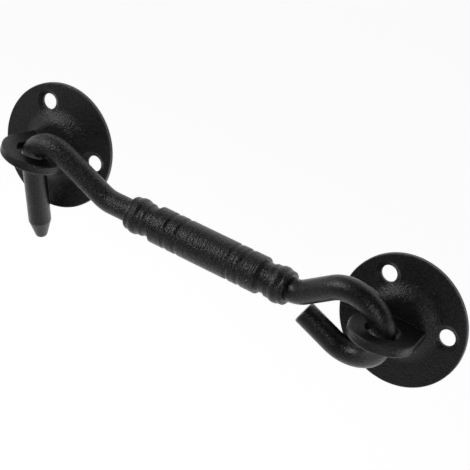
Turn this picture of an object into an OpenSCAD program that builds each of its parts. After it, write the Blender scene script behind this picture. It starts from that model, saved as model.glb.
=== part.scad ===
// Hook and eye latch: two round plates with upright eyes, and a bent round bar with a turned grip.
// The bar's loop is linked through the pivot eye and its pin drops through the catch eye.
// The wall is the plane Y = 0, the fronts face -Y and +Z is up.
// The origin is the middle of the pivot plate's back, and the catch plate lies towards -X.

/* [Plates] */
// Distance between the middles of the two plates
eye_distance = 119; // [106:1:220]
// Diameter of each plate
plate_d = 38; // [36:1:48]
// Thickness of the sheet that the plates are pressed from
plate_t = 1.5; // [1.2:0.1:2]
// Diameter of the boss where it rises from the plate
boss_d = 21.6; // [20.8:0.2:23]
// Diameter of the flat on top of the boss
boss_top_d = 14.8; // [14.4:0.2:16]
// Height of the boss above the plate's face
boss_h = 2; // [1.8:0.1:2.8]
// Rounding at the top and the foot of the pressed boss, on its front
press_r = 5; // [2.4:0.2:5.6]
// Rounding of the plate's front edge
rim_edge = 0.4; // [0.2:0.05:0.6]
// Number of screw holes in each plate
screw_count = 3; // [3:1:4]
// Diameter of the circle that the screw holes lie on
screw_circle_d = 26.8; // [26:0.2:28]
// Diameter of the screw holes
screw_d = 4.8; // [3.5:0.1:5]
// Diameter of the countersinks at the plate's face
sink_d = 7.6; // [6:0.1:8.6]
// Depth of the countersinks
sink_depth = 0.8; // [0.6:0.1:1.1]
// Angle from the eye's plane to the first screw hole
screw_phase = 5; // [0:0.5:20]
// Angle that the catch plate is turned on the wall
catch_turn = -5.5; // [-8:0.5:4]
// Angle that the pivot plate is turned on the wall
pivot_turn = 1; // [-4:0.5:5]

/* [Eyes] */
// Distance from the wall to the middle of each eye's hole
eye_reach = 13.6; // [13:0.2:17]
// Outside diameter of the eye's round nose
eye_d = 19; // [18:0.2:20]
// Width of the eye where it meets the boss
eye_root_w = 16.6; // [16:0.2:18]
// Thickness of the flat blank that the eye is stamped from
eye_t = 2.8; // [2:0.1:3.2]
// Play between the bar and the eye's hole, on the diameter
eye_play = 2.8; // [2.6:0.1:3.2]
// Rounding of the eye's edges
eye_edge = 0.45; // [0.2:0.05:0.7]
// Width of the tenon that holds the eye in the plate
tenon_w = 10; // [8:0.5:11]
// Width that the tenon's peened head spreads on every side
head_lip = 0.9; // [0.5:0.1:1]
// Height of the tenon's peened head
head_h = 1.2; // [0.8:0.1:1.6]
// Gap round the tenon and under the eye's foot
fit_gap = 0.1; // [0.05:0.05:0.2]

/* [Bar] */
// Diameter of the round bar
bar_d = 6.9; // [6.2:0.1:7.1]
// Radius of the loop along the middle of the bar
loop_r = 10; // [9.6:0.1:11]
// Radius of the other bends along the middle of the bar
bend_r = 8; // [6.6:0.1:8.6]
// Slope of the bar as it rises from the grip to the loop
pivot_rise = 37; // [30:1:42]
// Slope of the bar as it rises from the grip to the pin
catch_rise = 30; // [26:1:38]
// Straight length between the loop's upper and lower bends
loop_leg = 2.3; // [1:0.1:3]
// Slope of the loop's cut tail
tail_rise = 29.5; // [20:0.5:32]
// Straight length of the loop's cut tail
tail_len = 11; // [6:0.2:11.4]
// Angle that the pin leans from square to the grip, with its tip towards the loop
pin_lean = 3; // [0:0.5:5]
// Drop of the pin's tip below the middle of the grip
pin_drop = 26.8; // [18:0.2:28.4]
// Length of the taper on the pin's tip
pin_taper = 6.2; // [4:0.2:8]
// Diameter of the pin's tip at the end of its taper
pin_tip_d = 3.8; // [2.4:0.1:4.4]
// Rounding of the pin's point
tip_round = 0.9; // [0.4:0.1:1.1]
// Chamfer on the cut end of the tail
tail_edge = 0.35; // [0.1:0.05:0.6]

/* [Grip] */
// Largest diameter of the turned grip
grip_d = 10.9; // [10.4:0.1:12]
// Bare bar between the grip and the bend on the pin's side
bare_len = 6.7; // [2:0.1:8]
// Rounding of the grip's two ends
end_edge = 0.6; // [0.3:0.05:0.8]
// Width of the plain collar at each end
collar_w = 1.5; // [1.2:0.1:1.8]
// Depth of the collar below the largest diameter
collar_depth = 0.5; // [0.4:0.05:0.7]
// Width of the rounded bead behind each collar
bead_w = 2.9; // [2.4:0.1:3.2]
// Radius of the bead's rounded outline
bead_round = 2.6; // [2:0.1:4]
// Depth of the bead's crest below the largest diameter
bead_depth = 0.05; // [0:0.05:0.3]
// Width of the shoulder behind each bead
shoulder_w = 1.8; // [1.4:0.1:2.4]
// Depth of the shoulder below the largest diameter
shoulder_depth = 0.55; // [0.3:0.05:0.8]
// Width of the neck behind each shoulder
neck_w = 2.7; // [1.4:0.1:3]
// Depth of the neck below the largest diameter
neck_depth = 1; // [0.8:0.05:1.2]
// Width of the broad band behind each neck
band_w = 4.4; // [3.6:0.1:6]
// Width of the narrow ring on each side of the plain middle
ring_w = 2; // [1.6:0.1:3.4]
// Width of the soft grooves beside each ring
groove_w = 1.9; // [1.2:0.1:2.2]
// Depth of the soft grooves
groove_depth = 0.35; // [0.2:0.05:0.5]
// Rounding of the turned edges
turned_edge = 0.35; // [0.1:0.05:0.4]
// Gap between the bar and the grip's bore
bore_gap = 0.05; // [0.02:0.01:0.1]

/* [Resting place] */
// Angle that the arm is rolled about its length, with the pin's tip towards the wall
arm_roll = 20; // [0:1:21]
// Angle that the arm is tipped in its own plane, with the catch end down
arm_tilt = 1.9; // [0:0.1:2.5]
// Distance that the loop's leg stands beyond the middle of the pivot eye
leg_offset = 0.3; // [0:0.1:0.4]

/* [Hidden] */
$fn = 96;
coat = [0.16, 0.16, 0.165];
cut_over = 1;
corner_steps = 4;
press_steps = 10;
// Plates
plate_r = plate_d / 2;
boss_r = boss_d / 2;
boss_top_r = boss_top_d / 2;
boss_z = plate_t + boss_h;
hollow_z = boss_z - plate_t;
flank = atan2(boss_h, boss_r - boss_top_r);
flank_len = boss_h / sin(flank);
// Each rounding of the boss takes less than half of its flank
flank_share = 0.48;
front_r = min(press_r, flank_share * flank_len / tan(flank / 2));
set_back = front_r * tan(flank / 2);
// Eyes
eye_r = eye_d / 2;
eye_hole_d = bar_d + eye_play;
root_z = boss_z + fit_gap;
side_taper = asin((eye_r - eye_root_w / 2) / (eye_reach - root_z));
// Bar: both crests stand as high above the grip's middle as the loop's radius
bar_r = bar_d / 2;
crest_h = loop_r;
// Straight pieces of bar are a hair thinner than the bends and lap into them
join_step = 0.01;
join_lap = 0.2;
run_r = bar_r - join_step;
tip_slope = atan2(bar_r - pin_tip_d / 2, pin_taper);
loop_x = leg_offset - loop_r;
pivot_run = (loop_r * cos(pivot_rise) - bend_r * (1 - cos(pivot_rise))) / sin(pivot_rise);
catch_run = (crest_h - 2 * bend_r + 2 * bend_r * cos(catch_rise)) / sin(catch_rise);
pivot_span = (bend_r + loop_r) * sin(pivot_rise) + pivot_run * cos(pivot_rise);
catch_span = 2 * bend_r * sin(catch_rise) + catch_run * cos(catch_rise) + bend_r / cos(pin_lean);
// The straight stretch is as long as it takes to bring the pin to the middle of the catch eye
catch_reach = eye_distance + loop_x;
pin_height = catch_reach * sin(arm_tilt) - (crest_h - bend_r);
pin_reach = catch_reach * cos(arm_tilt) - pin_height * tan(pin_lean);
straight_len = pin_reach - pivot_span - catch_span;
pin_len = (pin_drop + crest_h - bend_r) / cos(pin_lean) - bend_r * tan(pin_lean);
// Grip
grip_r = grip_d / 2;
grip_len = straight_len - bare_len;
collar_r = grip_r - collar_depth;
bead_r = grip_r - bead_depth;
shoulder_r = grip_r - shoulder_depth;
neck_r = grip_r - neck_depth;
bore_r = bar_r + bore_gap;
turned_steps = 12;

// Points along a round corner about a centre
function corner(centre, r, from, to, steps = corner_steps) =
    [for (i = [0:steps])
        let (a = from + (to - from) * i / steps) centre + r * [cos(a), sin(a)]];

// The boss's side from its top down to the plate, at a depth below the front of the sheet
function boss_side(depth) = concat(
    corner([boss_top_r - set_back, boss_z - front_r], front_r - depth, 90, 90 - flank, press_steps),
    corner([boss_r + set_back, plate_t + front_r], front_r + depth, 270 - flank, 270, press_steps)
);

function reversed(points) =
    [for (i = [len(points) - 1:-1:0]) points[i]];

// Points across the rounded bead of the grip
function bead(from) =
    [for (i = [0:turned_steps])
        let (s = bead_w * i / turned_steps)
            [from + s, bead_r - bead_round + sqrt(bead_round ^ 2 - (s - bead_w / 2) ^ 2)]];

// Points across a soft groove of the grip
function groove(from) =
    [for (i = [0:turned_steps])
        let (share = i / turned_steps)
            [from + groove_w * share, grip_r - groove_depth * (1 - cos(360 * share)) / 2]];

// Stands a shape drawn with Z out of the wall on the wall, at a distance along it
module on_wall(along = 0, turn = 0) {
    translate([along, 0, 0])
        rotate([90, 0, 0])
            rotate(turn)
                children();
}

// Half section of a plate: a flat rim and a pressed boss that is hollow behind
module plate_section() {
    polygon(concat(
        [[0, hollow_z], [0, boss_z]],
        boss_side(0),
        corner([plate_r - rim_edge, plate_t - rim_edge], rim_edge, 90, 0),
        [[plate_r, 0]],
        reversed(boss_side(plate_t))
    ));
}

// A countersunk hole that also clears the boss's flank above it
module screw_hole() {
    translate([0, 0, -cut_over])
        cylinder(d = screw_d, h = plate_t + 2 * cut_over);
    translate([0, 0, plate_t - sink_depth])
        cylinder(d1 = screw_d, d2 = sink_d, h = sink_depth);
    translate([0, 0, plate_t])
        cylinder(d = sink_d, h = boss_h);
}

// The slot in the boss that the eye's tenon goes through
module tenon_slot() {
    translate([-tenon_w / 2 - fit_gap, -eye_t / 2 - fit_gap, 0])
        cube([tenon_w + 2 * fit_gap, eye_t + 2 * fit_gap, boss_z + cut_over]);
}

module plate() {
    difference() {
        rotate_extrude()
            plate_section();
        for (i = [0:screw_count - 1])
            rotate(screw_phase + i * 360 / screw_count)
                translate([screw_circle_d / 2, 0, 0])
                    screw_hole();
        tenon_slot();
    }
}

// Section of the eye's blank from its middle to its rounded outer edge
module blank_section() {
    low = -eye_t / 2 + eye_edge;
    high = eye_t / 2 - eye_edge;
    polygon(concat(
        [[0, -eye_t / 2]],
        corner([eye_r - eye_edge, low], eye_edge, -90, 0),
        corner([eye_r - eye_edge, high], eye_edge, 0, 90),
        [[0, eye_t / 2]]
    ));
}

// One straight side of the blank, running from the nose to the wall
module blank_side() {
    rotate(-side_taper)
        rotate([90, 0, 0])
            linear_extrude(eye_reach)
                blank_section();
}

// The eye's hole with rounded rims
module eye_hole() {
    hole_r = eye_hole_d / 2;
    high = eye_t / 2;
    rotate_extrude()
        polygon(concat(
            [[0, -high - cut_over], [hole_r + eye_edge, -high - cut_over]],
            corner([hole_r + eye_edge, eye_edge - high], eye_edge, 270, 180),
            corner([hole_r + eye_edge, high - eye_edge], eye_edge, 180, 90),
            [[hole_r + eye_edge, high + cut_over], [0, high + cut_over]]
        ));
}

// What is cut away below the eye so that its foot fits over the boss
module foot_cut() {
    side = [for (p = boss_side(0)) p + [0, fit_gap]];
    linear_extrude(eye_t + 2 * cut_over, center = true)
        polygon(concat(
            [[-plate_r, -eye_reach], [plate_r, -eye_reach], [plate_r, plate_t + fit_gap]],
            reversed(side),
            [for (p = side) [-p.x, p.y]],
            [[-plate_r, plate_t + fit_gap]]
        ));
}

// The tenon through the boss and its peened head in the hollow behind
module tenon() {
    head_top = hollow_z - fit_gap;
    head_r = eye_t / 2 + head_lip;
    translate([-tenon_w / 2, head_top - head_h / 2, -eye_t / 2])
        cube([tenon_w, root_z - head_top + head_h / 2 + cut_over, eye_t]);
    translate([0, head_top, 0])
        rotate([90, 0, 0])
            linear_extrude(head_h) {
                square([tenon_w + 2 * head_lip - 2 * head_r, 2 * head_r], center = true);
                for (side = [-1, 1])
                    translate([side * (tenon_w / 2 + head_lip - head_r), 0])
                        circle(head_r);
            }
}

// An eye as stamped from flat bar: a round nose with two straight sides down to its foot
module eye() {
    rotate([90, 0, 0]) {
        difference() {
            translate([0, eye_reach]) {
                rotate(-side_taper)
                    rotate_extrude(angle = 180 + 2 * side_taper)
                        blank_section();
                blank_side();
                mirror([1, 0, 0])
                    blank_side();
            }
            translate([0, eye_reach, 0])
                eye_hole();
            foot_cut();
        }
        tenon();
    }
}

// A straight run of bar along X that laps into the bends, with the rest of the bar at its end
module run(len) {
    translate([-join_lap, 0, 0])
        rotate([0, 90, 0])
            cylinder(r = run_r, h = len + 2 * join_lap);
    translate([len, 0, 0])
        children();
}

// A bend of the bar in the XY plane, to the left for a positive angle
module bend(r, angle) {
    side = sign(angle);
    turn = abs(angle);
    mirror([0, side > 0 ? 0 : 1, 0])
        translate([0, r, 0]) {
            rotate(-90)
                rotate_extrude(angle = turn)
                    translate([r, 0])
                        circle(bar_r);
            rotate(turn)
                translate([0, -r, 0])
                    mirror([0, side > 0 ? 0 : 1, 0])
                        children();
        }
}

// The loop's straight tail, cut off flat with its edge broken
module tail() {
    rotate([0, 90, 0])
        rotate_extrude()
            polygon([
                [0, -join_lap], [run_r, -join_lap],
                [run_r, tail_len - tail_edge], [run_r - tail_edge, tail_len],
                [0, tail_len]
            ]);
}

// The straight pin with a tapered tip and a rounded point
module pin() {
    tip_r = pin_tip_d / 2;
    rotate([0, 90, 0])
        rotate_extrude()
            polygon(concat(
                [[0, -join_lap], [run_r, -join_lap], [run_r, pin_len - pin_taper]],
                corner([tip_r - tip_round, pin_len - tip_round], tip_round, tip_slope, 90),
                [[0, pin_len]]
            ));
}

// Sets the arm where it rests: loop about the origin of its own plane, grip along X
module arm_place() {
    on_wall(loop_x)
        translate([0, 0, eye_reach])
            rotate([arm_roll, 0, 0])
                rotate(arm_tilt)
                    children();
}

// The bar, bent from the middle stretch outwards: first the loop, then the pin
module bent_bar() {
    translate([-pivot_span - straight_len, 0, 0])
        run(straight_len)
            bend(bend_r, pivot_rise)
                run(pivot_run)
                    bend(loop_r, -90 - pivot_rise)
                        run(loop_leg)
                            bend(loop_r, -90 - tail_rise)
                                tail();
    translate([-pivot_span - straight_len, 0, 0])
        mirror([1, 0, 0])
            bend(bend_r, catch_rise)
                run(catch_run)
                    bend(bend_r, -90 - catch_rise - pin_lean)
                        pin();
}

// Half section of the grip: the same turned end on both sides of a plain middle
module grip_section() {
    shoulder_s = collar_w + bead_w;
    neck_s = shoulder_s + shoulder_w;
    band_s = neck_s + neck_w;
    ring_s = band_s + band_w + groove_w;
    turned_end = concat(
        [[0, bore_r]],
        corner([end_edge, collar_r - end_edge], end_edge, 180, 90),
        bead(collar_w),
        [[neck_s - turned_edge, shoulder_r], [neck_s + turned_edge, neck_r], [band_s, neck_r]],
        corner([band_s + turned_edge, grip_r - turned_edge], turned_edge, 180, 90),
        groove(band_s + band_w),
        groove(ring_s + ring_w)
    );
    last = len(turned_end) - 1;
    polygon([for (p = concat(
        turned_end,
        [for (i = [0:last]) [grip_len - turned_end[last - i].x, turned_end[last - i].y]]
    )) [p.y, p.x]]);
}

module catch_plate() {
    color(coat)
        on_wall(-eye_distance, catch_turn)
            plate();
}

module pivot_plate() {
    color(coat)
        on_wall(0, pivot_turn)
            plate();
}

module catch_eye() {
    color(coat)
        on_wall(-eye_distance, catch_turn)
            eye();
}

module pivot_eye() {
    color(coat)
        on_wall(0, pivot_turn)
            eye();
}

module hook_bar() {
    color(coat)
        arm_place()
            bent_bar();
}

module grip_sleeve() {
    color(coat)
        arm_place()
            translate([-pivot_span - grip_len, 0, 0])
                rotate([0, 90, 0])
                    rotate_extrude()
                        grip_section();
}

catch_plate();
catch_eye();
pivot_plate();
pivot_eye();
hook_bar();
grip_sleeve();
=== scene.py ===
# %% [markdown]
# # A hook and eye latch in black powder coat
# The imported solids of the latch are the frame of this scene: two pressed plates, each with an eye
# riveted through its boss, and an arm made of one bent bar with a turned grip on it. Their shapes are
# already right, so they stay as they are. What this lesson adds is the finish, the light and the
# camera. Everything is in metres, and the origin is the middle of the pivot plate's back.

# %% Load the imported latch
import math

import bpy
from mathutils import Matrix, Vector


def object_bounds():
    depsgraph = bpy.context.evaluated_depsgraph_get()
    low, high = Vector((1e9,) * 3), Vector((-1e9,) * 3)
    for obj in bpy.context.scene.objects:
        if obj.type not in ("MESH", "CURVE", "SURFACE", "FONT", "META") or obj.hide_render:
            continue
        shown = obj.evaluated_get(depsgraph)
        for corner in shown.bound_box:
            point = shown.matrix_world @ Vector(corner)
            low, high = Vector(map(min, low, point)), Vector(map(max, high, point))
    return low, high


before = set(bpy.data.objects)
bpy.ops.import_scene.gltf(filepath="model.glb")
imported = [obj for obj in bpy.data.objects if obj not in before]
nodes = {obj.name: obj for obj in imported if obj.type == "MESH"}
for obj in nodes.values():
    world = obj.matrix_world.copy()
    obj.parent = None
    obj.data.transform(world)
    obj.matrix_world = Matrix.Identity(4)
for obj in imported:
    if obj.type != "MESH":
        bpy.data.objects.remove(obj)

cad_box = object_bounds()
scene = bpy.context.scene
MM = 0.001
print("pieces of the latch:", ", ".join(sorted(nodes)))
print("CAD box in mm:", [[round(c / MM, 1) for c in corner] for corner in cad_box])

# %% [markdown]
# ## Helpers for node trees
# A finish is a small machine of nodes. Placing each node by hand in the editor is fine once, but four
# finishes share most of theirs. So short helpers place a node with its settings, join sockets, do
# sums, ease a value from one range to another, and tell where on the piece a point is.


# %% Helpers
def place(tree, kind, sockets=None, **settings):
    """One node of that kind, with its settings and the values of its unlinked sockets."""
    node = tree.nodes.new("ShaderNode" + kind)
    for name, value in settings.items():
        setattr(node, name, value)
    for name, value in (sockets or {}).items():
        node.inputs[name].default_value = value
    return node


def join(tree, *pairs):
    """Links each pair of output and input."""
    for output, socket in pairs:
        tree.links.new(output, socket)


def sum_up(tree, operation, first, second=0.0):
    """A Math node on one or two values, each an output or a plain number. Gives its output."""
    node = place(tree, "Math", operation=operation)
    for socket, value in zip(node.inputs, (first, second)):
        if isinstance(value, (int, float)):
            socket.default_value = value
        else:
            tree.links.new(value, socket)
    return node.outputs[0]


def remap(tree, value, low, high, to_low=0.0, to_high=1.0):
    """A Map Range node that eases from one range to the other. Gives its output."""
    limits = {"From Min": low, "From Max": high, "To Min": to_low, "To Max": to_high}
    node = place(tree, "MapRange", interpolation_type="SMOOTHSTEP")
    for name, number in limits.items():
        node.inputs[name].default_value = number
    tree.links.new(value, node.inputs["Value"])
    return node.outputs["Result"]


def where(tree):
    """The place on the piece, in metres."""
    return place(tree, "TexCoord").outputs["Object"]


print("helpers ready")

# %% [markdown]
# ## Node groups
# Grain, and edges with a thin coat and a painted highlight, are on every piece. They could be copied
# into each finish, but then a change has to be made four times. A node group is built once, with named
# inputs and outputs, and each finish places it with its own values.


# %% Helpers for groups
def open_group(name, inputs, outputs):
    """A shader node group with float inputs, given as name: default, and float outputs."""
    tree = bpy.data.node_groups.new(name, "ShaderNodeTree")
    for label, default in inputs.items():
        socket = tree.interface.new_socket(label, in_out="INPUT", socket_type="NodeSocketFloat")
        socket.default_value = default
    for label in outputs:
        tree.interface.new_socket(label, in_out="OUTPUT", socket_type="NodeSocketFloat")
    return tree, tree.nodes.new("NodeGroupInput"), tree.nodes.new("NodeGroupOutput")


def place_group(tree, group, values):
    """A node group in a tree, with its input values. Gives its outputs."""
    return place(tree, "Group", values, node_tree=group).outputs


print("group helpers ready")

# %% [markdown]
# ## Powder grain
# Powder coat is sprayed on dry and melted in an oven, so its skin is a field of soft pebbles, less
# than half a millimetre across. A displaced mesh could carry them, but would need millions of faces.
# A bump in the finish gives the same broken highlight, because each pebble still catches the light by
# itself. The group gives the height of the pebbles, a mottle of spots where the powder lies thin, rare
# pale specks of dust, and a slow drift in gloss. The pebbles have no finer layers: what is smaller than
# a pixel would only blur the highlight.

# %% Powder grain group
PEBBLE = 0.40 * MM
DUST_SHARE = 0.05
DUST_RATE = 2.3
MOTTLE_RATE = 1.13
MOTTLE_EASE = (0.47, 0.64)
DRIFTS_PER_METRE = 90.0
DRIFT_EASE = (0.3, 0.7)
SPECKS_PER_METRE = 210.0
SPECK_EASE = (0.040, 0.025)

grain_tree, grain_in, grain_out = open_group(
    "powder grain",
    {"Grain size": PEBBLE, "Dust share": DUST_SHARE},
    ["Height", "Mottle", "Speck", "Drift"],
)
per_metre = sum_up(grain_tree, "DIVIDE", 1.0, grain_in.outputs["Grain size"])
pebbles = place(grain_tree, "TexNoise", {"Detail": 0.0})
dust = place(grain_tree, "TexNoise", {"Detail": 0.0})
mottle = place(grain_tree, "TexNoise", {"Detail": 0.0})
drift_look = {"Scale": DRIFTS_PER_METRE, "Detail": 3.0, "Roughness": 0.55}
drift = place(grain_tree, "TexNoise", drift_look)
specks = place(grain_tree, "TexVoronoi", {"Scale": SPECKS_PER_METRE}, feature="F1")
spot = where(grain_tree)
for texture in (pebbles, dust, mottle, drift, specks):
    join(grain_tree, (spot, texture.inputs["Vector"]))
fine = sum_up(grain_tree, "MULTIPLY", dust.outputs["Fac"], grain_in.outputs["Dust share"])
join(
    grain_tree,
    (per_metre, pebbles.inputs["Scale"]),
    (sum_up(grain_tree, "MULTIPLY", per_metre, DUST_RATE), dust.inputs["Scale"]),
    (sum_up(grain_tree, "MULTIPLY", per_metre, MOTTLE_RATE), mottle.inputs["Scale"]),
    (sum_up(grain_tree, "ADD", pebbles.outputs["Fac"], fine), grain_out.inputs["Height"]),
    (remap(grain_tree, mottle.outputs["Fac"], *MOTTLE_EASE), grain_out.inputs["Mottle"]),
    (remap(grain_tree, specks.outputs["Distance"], *SPECK_EASE), grain_out.inputs["Speck"]),
    (remap(grain_tree, drift.outputs["Fac"], *DRIFT_EASE), grain_out.inputs["Drift"]),
)
print("group:", grain_tree.name, "with", len(grain_tree.nodes), "nodes")

# %% [markdown]
# ## Thin edges, painted paler
# Molten powder draws back from a sharp edge, so the coat is thinnest there, and smoother. The edges are
# also painted a paler grey, which is a painted highlight along them. Painting such edges by hand needs
# a map of each mesh. The Bevel node rounds the normal near an edge instead, and where it differs from
# the true normal there is an edge, on any mesh.

# %% Edge group, for the thin coat and the painted highlight
EDGE_REACH = 0.45 * MM
EDGE_EASE = (0.985, 0.85)
EDGE_SAMPLES = 6

edge_tree, edge_in, edge_out = open_group("thin coat and painted highlight on each edge", {"Reach": EDGE_REACH}, ["Edge"])
rounded = place(edge_tree, "Bevel", samples=EDGE_SAMPLES)
alike = place(edge_tree, "VectorMath", operation="DOT_PRODUCT")
join(
    edge_tree,
    (edge_in.outputs["Reach"], rounded.inputs["Radius"]),
    (rounded.outputs["Normal"], alike.inputs[0]),
    (place(edge_tree, "NewGeometry").outputs["Normal"], alike.inputs[1]),
    (remap(edge_tree, alike.outputs["Value"], *EDGE_EASE), edge_out.inputs["Edge"]),
)
print("group:", edge_tree.name, "with", len(edge_tree.nodes), "nodes")

# %% [markdown]
# ## Black coat
# All six pieces carry the same black, so one function makes the finish and each piece gives its own
# numbers: the size and depth of the grain, how grey its thin spots are, how pale its painted edge
# highlight is, and how glossy it is. Two functions can be handed in as well. One gives the height of
# what shows through the coat, such as turning marks. The other gives a mask of where the coat is rubbed
# smooth.

# %% Black coat
BLACK = (0.0025, 0.0025, 0.0026, 1.0)
SPECK_GREY = (0.45, 0.45, 0.45, 1.0)
COAT_IOR = 1.5
EDGE_GLOSS = -0.06
RUBBED_GLOSS = -0.05
RUBBED_GRAIN = -0.45


def cover(tree, share, colour):
    """A colour Mix that lays a colour over its A input, as far as share says."""
    node = place(tree, "Mix", data_type="RGBA")
    node.inputs["B"].default_value = colour
    tree.links.new(share, node.inputs["Factor"])
    return node


def black_coat(name, grain_size, grain_depth, spots, edges, gloss, under=None, rubbed=None):
    """A black powder coat. gloss is its two roughness limits, edges the grey of a painted highlight
    along its edges; under and rubbed take the tree.
    """
    coat = bpy.data.materials.new(name)
    coat.use_nodes = True
    tree = coat.node_tree
    shader = tree.nodes["Principled BSDF"]
    shader.inputs["IOR"].default_value = COAT_IOR
    grain = place_group(tree, grain_tree, {"Grain size": grain_size})
    edge = place_group(tree, edge_tree, {"Reach": EDGE_REACH})["Edge"]
    height, thin = grain["Height"], grain["Mottle"]
    rough = remap(tree, grain["Drift"], 0.0, 1.0, *gloss)
    rough = sum_up(tree, "ADD", rough, sum_up(tree, "MULTIPLY", edge, EDGE_GLOSS))
    if under:
        height = sum_up(tree, "ADD", height, under(tree))
    if rubbed:
        mask = rubbed(tree)
        kept = sum_up(tree, "ADD", sum_up(tree, "MULTIPLY", mask, RUBBED_GRAIN), 1.0)
        height = sum_up(tree, "MULTIPLY", height, kept)
        thin = sum_up(tree, "MULTIPLY", thin, kept)
        rough = sum_up(tree, "ADD", rough, sum_up(tree, "MULTIPLY", mask, RUBBED_GLOSS))
    mottled = cover(tree, thin, (spots, spots, spots, 1.0))
    mottled.inputs["A"].default_value = BLACK
    # Edges are painted a paler grey here, which is a painted highlight along every edge.
    painted_edge_highlight = cover(tree, edge, (edges, edges, edges, 1.0))
    specked = cover(tree, grain["Speck"], SPECK_GREY)
    bump = place(tree, "Bump", {"Strength": 1.0, "Distance": grain_depth})
    join(
        tree,
        (mottled.outputs["Result"], painted_edge_highlight.inputs["A"]),
        (painted_edge_highlight.outputs["Result"], specked.inputs["A"]),
        (specked.outputs["Result"], shader.inputs["Base Color"]),
        (rough, shader.inputs["Roughness"]),
        (height, bump.inputs["Height"]),
        (bump.outputs["Normal"], shader.inputs["Normal"]),
    )
    return coat


def dress(coat, *names):
    """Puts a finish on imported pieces."""
    for name in names:
        nodes[name].data.materials.clear()
        nodes[name].data.materials.append(coat)
    print(coat.name, "with", len(coat.node_tree.nodes), "nodes on", ", ".join(names))


print("coat over black", BLACK[:3])

# %% [markdown]
# ## The pressed plates
# A plate is stamped from sheet, so under the coat it is smooth. Only the powder's own grain shows,
# most of all on the slope of the boss, where the light strikes it.

# %% Plates
plate_coat = black_coat(
    "black coat on pressed sheet",
    grain_size=0.40 * MM, grain_depth=0.165 * MM, spots=0.016, edges=0.10, gloss=(0.35, 0.43),
)
dress(plate_coat, "pivot_plate", "catch_plate")

# %% [markdown]
# ## The punched eyes
# An eye is punched from thick strip. Its flats are smooth, but its rim was sheared and then torn by
# the punch, and under the coat the rim keeps thin streaks that run along it. They could be cut into the
# mesh, but the coat half fills them, so a stretched noise is enough. The object's own normal tells rim
# from flat.

# %% Eyes
STREAKS_PER_METRE = 1400.0
STREAK_STRETCH = (0.2, 0.2, 1.0)
STREAK_HEIGHT = 1.6
RIM_EASE = (0.6, 0.2)


def punched_rim(tree):
    """Height of the punch's streaks, on the rim alone."""
    stretched = place(tree, "VectorMath", operation="MULTIPLY")
    stretched.inputs[1].default_value = STREAK_STRETCH
    streaks = place(tree, "TexNoise", {"Scale": STREAKS_PER_METRE, "Detail": 2.0})
    upright = place(tree, "SeparateXYZ")
    join(
        tree,
        (where(tree), stretched.inputs[0]),
        (stretched.outputs["Vector"], streaks.inputs["Vector"]),
        (place(tree, "TexCoord").outputs["Normal"], upright.inputs["Vector"]),
    )
    steep = sum_up(tree, "ABSOLUTE", upright.outputs["Z"])
    on_rim = remap(tree, steep, *RIM_EASE, 0.0, STREAK_HEIGHT)
    return sum_up(tree, "MULTIPLY", streaks.outputs["Fac"], on_rim)


# The eyes' edges get the palest painted highlight of the four finishes.
eye_coat = black_coat(
    "black coat on punched strip",
    grain_size=0.40 * MM, grain_depth=0.12 * MM, spots=0.014, edges=0.25, gloss=(0.36, 0.44),
    under=punched_rim,
)
dress(eye_coat, "pivot_eye", "catch_eye")

# %% [markdown]
# ## The bent bar
# The bar is drawn rod, bent cold, and its grain is the coarsest of the four finishes. Each time the
# latch is opened, the loop turns in the pivot eye and the pin slides in the catch eye, so at both ends
# the coat is rubbed smoother. Two masks, one along the latch and one by height, are enough for that:
# no map of the bar has to be painted.

# %% Bar
LOOP_EASE = (-52.0 * MM, -38.0 * MM)
PIN_EASE = (-2.0 * MM, -9.0 * MM)


def rubbed_ends(tree):
    """Mask of the loop and of the pin, where the bar rubs in the eyes."""
    spot = place(tree, "SeparateXYZ")
    join(tree, (where(tree), spot.inputs["Vector"]))
    loop = remap(tree, spot.outputs["X"], *LOOP_EASE)
    pin = remap(tree, spot.outputs["Z"], *PIN_EASE)
    return sum_up(tree, "MAXIMUM", loop, pin)


bar_coat = black_coat(
    "black coat on bent bar",
    grain_size=0.41 * MM, grain_depth=0.19 * MM, spots=0.036, edges=0.10, gloss=(0.33, 0.40),
    rubbed=rubbed_ends,
)
dress(bar_coat, "hook_bar")

# %% [markdown]
# ## The turned grip
# The grip was turned on a lathe. Its tool left rings finer than the grooves, and the coat only half
# fills them, so they show as faint lines round the grip. A noise that changes only along the grip's
# own axis gives them, and is less even than a wave.

# %% Grip
ARM_ROLL = math.radians(20)
ARM_TILT = math.radians(1.9)
RINGS_PER_METRE = 1500.0
grip_axis = Vector((
    math.cos(ARM_TILT),
    -math.sin(ARM_TILT) * math.sin(ARM_ROLL),
    math.sin(ARM_TILT) * math.cos(ARM_ROLL),
))


def turning_rings(tree):
    """Height of the lathe's rings along the grip."""
    along = place(tree, "VectorMath", operation="DOT_PRODUCT")
    along.inputs[1].default_value = grip_axis
    ring_look = {"Scale": RINGS_PER_METRE, "Detail": 2.0}
    rings = place(tree, "TexNoise", ring_look, noise_dimensions="1D")
    join(tree, (where(tree), along.inputs[0]), (along.outputs["Value"], rings.inputs["W"]))
    return rings.outputs["Fac"]


grip_coat = black_coat(
    "black coat on turned grip",
    grain_size=0.40 * MM, grain_depth=0.14 * MM, spots=0.034, edges=0.10, gloss=(0.29, 0.37),
    under=turning_rings,
)
dress(grip_coat, "grip_sleeve")

# %% [markdown]
# ## The camera
# The latch is seen from its right, from above, and the picture is turned a little. The angles, the
# distance and the lens were worked out from the outlines of the two round plates: a circle seen at a
# slant is an ellipse, and two of them in one plane fix the view.

# %% Camera
AZIMUTH, ELEVATION, ROLL = (math.radians(a) for a in (25.049, 24.795, 15.945))
TARGET = Vector((-55.472, 0.0, -0.361)) * MM
DISTANCE = 462.84 * MM
SENSOR_WIDTH = 36.0
FOCAL_LENGTH = 124.835
NEAR_AND_FAR = (0.01, 20.0)

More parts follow.
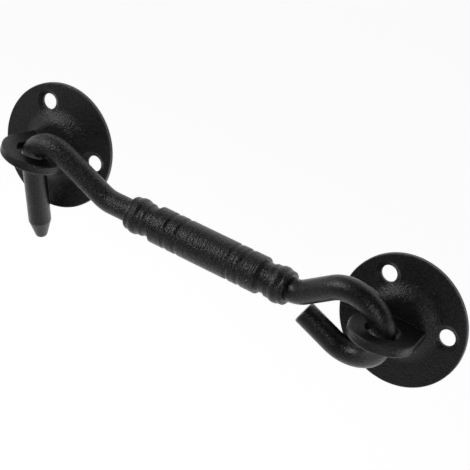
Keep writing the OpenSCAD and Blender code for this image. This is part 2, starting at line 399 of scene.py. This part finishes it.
lens = bpy.data.cameras.new("camera")
lens.sensor_width = SENSOR_WIDTH
lens.lens = FOCAL_LENGTH
lens.clip_start, lens.clip_end = NEAR_AND_FAR
camera = bpy.data.objects.new("camera", lens)
scene.collection.objects.link(camera)
back = Vector((
    math.sin(AZIMUTH) * math.cos(ELEVATION),
    -math.cos(AZIMUTH) * math.cos(ELEVATION),
    math.sin(ELEVATION),
))
level = Vector((math.cos(AZIMUTH), math.sin(AZIMUTH), 0.0))
upward = back.cross(level)
right = math.cos(ROLL) * level + math.sin(ROLL) * upward
up = math.cos(ROLL) * upward - math.sin(ROLL) * level
pose = Matrix((right, up, back)).transposed().to_4x4()
pose.translation = TARGET + back * DISTANCE
camera.matrix_world = pose
scene.camera = camera
print("camera at", [round(c, 4) for c in pose.translation], "m")

# %% [markdown]
# ## The floor
# The latch hangs over a white sheet that runs away under it and behind it. More light would whiten
# the sheet, but the latch with it. So the sheet glows by itself for the camera, and in reflections
# it glows more the further back it is, as a sheet does that is lit from behind. That glow draws the
# pin and the lower edges of the bar. The lamps still light the sheet, so it keeps the latch's shadow.

# %% Floor
FLOOR_DROP = 0.12
FLOOR_HALF = 5.0
FLOOR_CORNERS = ((-1, -1), (1, -1), (1, 1), (-1, 1))
FLOOR_GREY = (0.6, 0.6, 0.6, 1.0)
FLOOR_ROUGHNESS = 0.9
FLOOR_SHINE = 0.1
WHITE = (1.0, 1.0, 1.0, 1.0)
SEEN_GLOW = 0.79
GLOW_EASE = (-0.22, 0.14)


def reflected(tree, ray):
    """1 for a ray from a reflection or through glass, and 0 for any other."""
    return sum_up(tree, "MAXIMUM", ray["Is Glossy Ray"], ray["Is Transmission Ray"])


low = cad_box[0].z - FLOOR_DROP
corners = [(x * FLOOR_HALF, y * FLOOR_HALF, low) for x, y in FLOOR_CORNERS]
sheet_mesh = bpy.data.meshes.new("floor")
sheet_mesh.from_pydata(corners, [], [(0, 1, 2, 3)])
floor = bpy.data.objects.new("floor", sheet_mesh)
scene.collection.objects.link(floor)

sheet = bpy.data.materials.new("white sheet")
sheet.use_nodes = True
tree = sheet.node_tree
paper = tree.nodes["Principled BSDF"]
paper.inputs["Base Color"].default_value = FLOOR_GREY
paper.inputs["Roughness"].default_value = FLOOR_ROUGHNESS
paper.inputs["Specular IOR Level"].default_value = FLOOR_SHINE
ray = place(tree, "LightPath").outputs
away = place(tree, "SeparateXYZ")
join(tree, (where(tree), away.inputs["Vector"]))
further = remap(tree, away.outputs["Y"], *GLOW_EASE)
seen_glow = sum_up(tree, "MULTIPLY", ray["Is Camera Ray"], SEEN_GLOW)
far_glow = sum_up(tree, "MULTIPLY", reflected(tree, ray), further)
glow = place(tree, "Emission", {"Color": WHITE})
both = place(tree, "AddShader")
join(
    tree,
    (sum_up(tree, "ADD", seen_glow, far_glow), glow.inputs["Strength"]),
    (paper.outputs["BSDF"], both.inputs[0]),
    (glow.outputs["Emission"], both.inputs[1]),
    (both.outputs["Shader"], tree.nodes["Material Output"].inputs["Surface"]),
)
sheet_mesh.materials.append(sheet)
print("floor", round(-low / MM), "mm below the plates' middle")

# %% [markdown]
# ## The room
# A black thing is drawn by what it reflects. A plain grey room would leave it flat. This one is white
# behind the latch, which draws bright rims along the bar, and has a pale screen at the left, which
# fills the bosses, the bar and the grip. It is dim in front, where the camera stands, which keeps the
# faces of the plates black. Only reflections see those walls, and the camera sees plain white. All
# other light from the room is one even, weak fill.

# %% Room
ROOM_FILL = 0.25
FRONT_LEVEL = 0.06
BACK_WAY = Vector((0.05, 0.93, 0.20)).normalized()
BACK_EASE = (0.15, 0.86)
LEFT_WAY = Vector((-0.95, -0.10, 0.25)).normalized()
LEFT_EASE = (0.6, 0.95)
LEFT_LEVEL = 0.60


def towards(tree, way):
    """How far a direction into the room points along a way."""
    node = place(tree, "VectorMath", operation="DOT_PRODUCT")
    node.inputs[1].default_value = way
    join(tree, (place(tree, "TexCoord").outputs["Generated"], node.inputs[0]))
    return node.outputs["Value"]


room = bpy.data.worlds.new("room")
room.use_nodes = True
scene.world = room
tree = room.node_tree
fill = tree.nodes["Background"]
fill.inputs["Color"].default_value = WHITE
fill.inputs["Strength"].default_value = ROOM_FILL
back_wall = remap(tree, towards(tree, BACK_WAY), *BACK_EASE, FRONT_LEVEL, 1.0)
left_screen = remap(tree, towards(tree, LEFT_WAY), *LEFT_EASE, 0.0, LEFT_LEVEL)
wall_level = sum_up(tree, "MAXIMUM", back_wall, left_screen)
ray = place(tree, "LightPath").outputs
seen = ray["Is Camera Ray"]
walls = place(tree, "Background", {"Color": WHITE})
choose = place(tree, "MixShader")
join(
    tree,
    (sum_up(tree, "MAXIMUM", seen, wall_level), walls.inputs["Strength"]),
    (sum_up(tree, "MAXIMUM", seen, reflected(tree, ray)), choose.inputs["Fac"]),
    (fill.outputs["Background"], choose.inputs[1]),
    (walls.outputs["Background"], choose.inputs[2]),
    (choose.outputs["Shader"], tree.nodes["World Output"].inputs["Surface"]),
)
print("room with a fill of", ROOM_FILL, "and", len(tree.nodes), "nodes")

# %% [markdown]
# ## The lamps
# The speckled band along the grip and the lit slopes of the bosses come from a soft box in front and
# above, at the left. A second, weaker one at the right opens up the shaded sides. Sun lamps would give
# hard shadows and points would give hard spots, so both are area lamps, turned towards the latch.


# %% Lamps
def soft_lamp(name, way, far, sizes, watts):
    """A soft box that far along a way from the latch's middle, turned towards it."""
    data = bpy.data.lights.new(name, "AREA")
    data.shape = "RECTANGLE"
    data.size, data.size_y = sizes
    data.energy = watts
    lamp = bpy.data.objects.new(name, data)
    scene.collection.objects.link(lamp)
    outward = Vector(way).normalized()
    lamp.location = TARGET + outward * far
    lamp.rotation_mode = "QUATERNION"
    lamp.rotation_quaternion = outward.to_track_quat("Z", "Y")
    lamp.visible_camera = False
    print(name, "gives", watts, "W over", sizes, "m")


soft_lamp("left lamp", way=(-0.69, -0.60, 0.43), far=0.50, sizes=(0.17, 0.28), watts=0.72)
soft_lamp("right lamp", way=(0.62, -0.75, 0.05), far=0.55, sizes=(0.16, 0.34), watts=0.36)

# %% [markdown]
# ## Picture settings
# The plain view transform shows colours as they are written.

# %% Finish
scene.view_settings.view_transform = "Standard"
